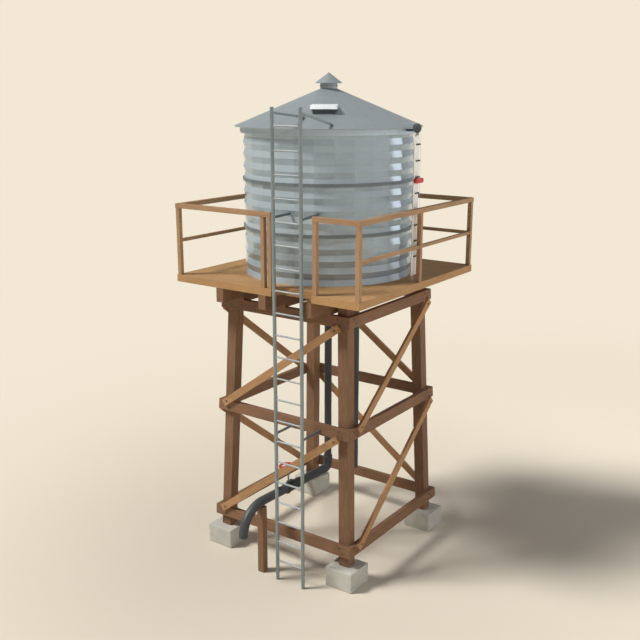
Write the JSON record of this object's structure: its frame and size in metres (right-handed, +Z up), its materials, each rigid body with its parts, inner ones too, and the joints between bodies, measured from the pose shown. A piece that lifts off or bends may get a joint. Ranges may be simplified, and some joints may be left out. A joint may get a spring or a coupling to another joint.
{
  "type": "water tower",
  "caption": "Timber-framed water tower with a corrugated steel tank, conical roof with a hatch, railed deck, ladder, outlet valve and float gauge.",
  "frame": {"origin": "on the ground, at the middle of the four footings and under the middle of the tank", "axes": "+Z up; -Y is the front, the ladder's side; +X is the right, the gauge's side"},
  "size_m": [3.08, 3.5067, 6.97],
  "materials": {
    "concrete": "rough grey-cream concrete",
    "dark_timber": "dark brown stained timber",
    "light_timber": "light brown timber",
    "deck_timber": "tan timber",
    "galvanised_steel": "galvanised, satin",
    "pipe_plastic": "dark grey",
    "red_paint": "red paint",
    "white_paint": "white paint",
    "dark_steel": "dark grey paint"
  },
  "bodies": {
    "tower": {"bottom_girt_back": "dark_timber", "bottom_girt_front": "dark_timber", "bottom_girt_left": "dark_timber", "bottom_girt_right": "dark_timber", "brace_back_lower": "light_timber", "brace_back_upper": "light_timber", "brace_front_lower": "light_timber", "brace_front_upper": "light_timber", "brace_left_lower": "light_timber", "brace_left_upper": "light_timber", "brace_right_lower": "light_timber", "brace_right_upper": "light_timber", "cap_back": "dark_timber", "cap_front": "dark_timber", "cap_left": "dark_timber", "cap_right": "dark_timber", "deck": "deck_timber", "discharge_pipe": "pipe_plastic", "drain_pipe": "pipe_plastic", "footing_back_left": "concrete", "footing_back_right": "concrete", "footing_front_left": "concrete", "footing_front_right": "concrete", "gauge_board": "white_paint", "gauge_bracket": "dark_steel", "gauge_wire": "galvanised_steel", "hatch_curb": "galvanised_steel", "hoop_lower": "galvanised_steel", "hoop_upper": "galvanised_steel", "joist_left": "dark_timber", "joist_middle": "dark_timber", "joist_right": "dark_timber", "ladder": "galvanised_steel", "leg_back_left": "dark_timber", "leg_back_right": "dark_timber", "leg_front_left": "dark_timber", "leg_front_right": "dark_timber", "middle_girt_back": "dark_timber", "middle_girt_front": "dark_timber", "middle_girt_left": "dark_timber", "middle_girt_right": "dark_timber", "outlet_pipe": "pipe_plastic", "pipe_post": "dark_timber", "railing_back": "deck_timber", "railing_front_left": "deck_timber", "railing_front_right": "deck_timber", "railing_left": "deck_timber", "railing_right": "deck_timber", "roof": "galvanised_steel", "roof_vent": "galvanised_steel", "tank_floor": "galvanised_steel", "tank_wall_back_left": "galvanised_steel", "tank_wall_back_right": "galvanised_steel", "tank_wall_front_left": "galvanised_steel", "tank_wall_front_right": "galvanised_steel", "valve_body": "pipe_plastic"},
    "hatch_lid": {"hatch_lid": "white_paint"},
    "valve_handwheel": {"valve_handwheel": "red_paint"},
    "gauge_marker": {"gauge_marker": "red_paint"},
    "gauge_pulley": {"gauge_pulley": "dark_steel"}
  },
  "joints": [
    {"name": "hatch_hinge", "type": "hinge", "parent": "tower", "child": "hatch_lid", "pos_m": [0.32833, -0.55518, 6.5423], "axis": [-0.8607, -0.509, 0], "range_deg": [0, 95]},
    {"name": "handwheel_turn", "type": "hinge", "parent": "tower", "child": "valve_handwheel", "pos_m": [-0.05214, -0.93254, 1.418], "axis": [0, 0, 1], "continuous": true},
    {"name": "marker_slide", "type": "slide", "parent": "tower", "child": "gauge_marker", "axis": [0, 0, 1], "range_m": [-0.3, 0.53]},
    {"name": "pulley_turn", "type": "hinge", "parent": "tower", "child": "gauge_pulley", "pos_m": [1.415, 0, 6.25], "axis": [0, 1, 0], "range_deg": [-510, 290]}
  ],
  "couplings": [
    {"joint": "pulley_turn", "follows": "marker_slide", "rad_per_m": -16.584}
  ]
}
